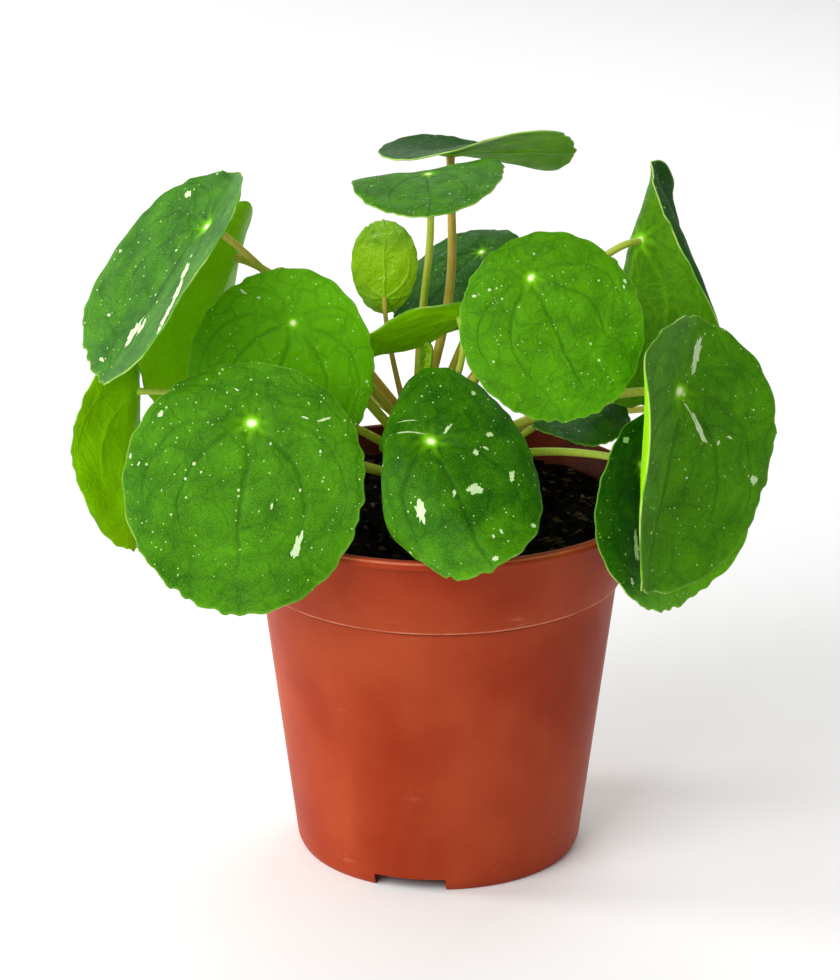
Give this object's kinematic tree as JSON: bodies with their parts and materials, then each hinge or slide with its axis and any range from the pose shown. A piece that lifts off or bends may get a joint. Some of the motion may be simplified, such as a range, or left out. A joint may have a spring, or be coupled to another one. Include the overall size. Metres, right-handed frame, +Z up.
{
  "type": "potted plant",
  "caption": "Potted pilea: round coin-like leaves on thin curved stalks round a short woody trunk, in soil in a tapered terracotta-coloured plastic nursery pot.",
  "frame": {"origin": "centre of the circle that the pot stands on, at the level of its foot", "axes": "+Z up along the pot's axis, -Y towards the front of the picture, +X to its right"},
  "size_m": [0.1959, 0.1532, 0.2084],
  "materials": {
    "pot_plastic": "satin",
    "potting_soil": "matte",
    "woody_trunk": "matte",
    "leaf_stalk": "satin",
    "leaf_blade": "satin",
    "young_blade": "gloss"
  },
  "bodies": {
    "root": {"pot": "pot_plastic", "soil": "potting_soil", "trunk": "woody_trunk", "stalk_front_left": "leaf_stalk", "blade_front_left": "leaf_blade", "stalk_front_middle": "leaf_stalk", "blade_front_middle": "leaf_blade", "stalk_front_right": "leaf_stalk", "blade_front_right": "leaf_blade", "stalk_middle_left": "leaf_stalk", "blade_middle_left": "leaf_blade", "stalk_outer_right": "leaf_stalk", "blade_outer_right": "leaf_blade", "stalk_lower_right": "leaf_stalk", "blade_lower_right": "leaf_blade", "stalk_upper_left": "leaf_stalk", "blade_upper_left": "leaf_blade", "stalk_upper_left_back": "leaf_stalk", "blade_upper_left_back": "leaf_blade", "stalk_far_left": "leaf_stalk", "blade_far_left": "leaf_blade", "stalk_upper_right": "leaf_stalk", "blade_upper_right": "leaf_blade", "stalk_top_back": "leaf_stalk", "blade_top_back": "leaf_blade", "stalk_top_front": "leaf_stalk", "blade_top_front": "leaf_blade", "stalk_young": "leaf_stalk", "blade_young": "young_blade", "stalk_bud": "leaf_stalk", "blade_bud": "young_blade", "stalk_back_middle": "leaf_stalk", "blade_back_middle": "leaf_blade", "stalk_inner_left": "leaf_stalk", "blade_inner_left": "leaf_blade", "stalk_inner_right": "leaf_stalk", "blade_inner_right": "leaf_blade", "stalk_back_right": "leaf_stalk", "blade_back_right": "leaf_blade", "stalk_back_left": "leaf_stalk", "blade_back_left": "leaf_blade", "stalk_back_outer": "leaf_stalk", "blade_back_outer": "leaf_blade"}
  },
  "joints": []
}
